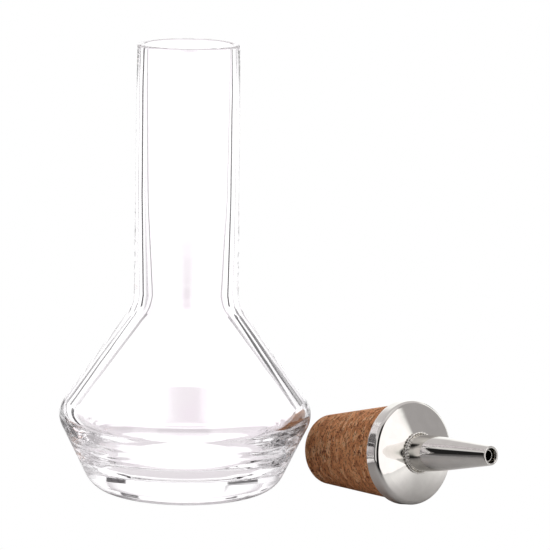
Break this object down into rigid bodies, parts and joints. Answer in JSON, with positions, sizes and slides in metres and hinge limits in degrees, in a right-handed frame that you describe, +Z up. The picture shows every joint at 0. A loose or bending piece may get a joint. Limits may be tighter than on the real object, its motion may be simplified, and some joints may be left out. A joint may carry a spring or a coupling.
{
  "type": "bitters bottle",
  "caption": "Small clear glass bottle with a straight neck, flared body and thick floor, and its drip stopper lying beside it: tapered cork, domed metal cap and thin pouring spout.",
  "frame": {"origin": "centre of the bottle's flat foot, on the surface that the bottle and its stopper stand on", "axes": "+Z up the bottle's axis towards its mouth; the stopper lies on the +X side, its spout pointing towards +X and -Y, the viewer's side"},
  "size_m": [0.1172, 0.0742, 0.1215],
  "materials": {
    "glass": "clear, polished",
    "cork": "bare agglomerated cork",
    "polished_steel": "polished",
    "solder": "satin"
  },
  "bodies": {
    "bottle": {"bottle": "glass"},
    "stopper": {"cork": "cork", "cap": "polished_steel", "spout": "polished_steel", "flow_tube": "polished_steel", "solder_seam": "solder"}
  },
  "joints": [
    {"name": "stopper_lift", "type": "slide", "parent": "bottle", "child": "stopper", "axis": [0.4923, 0.0877, 0.866], "range_m": [0, 0.145]}
  ]
}
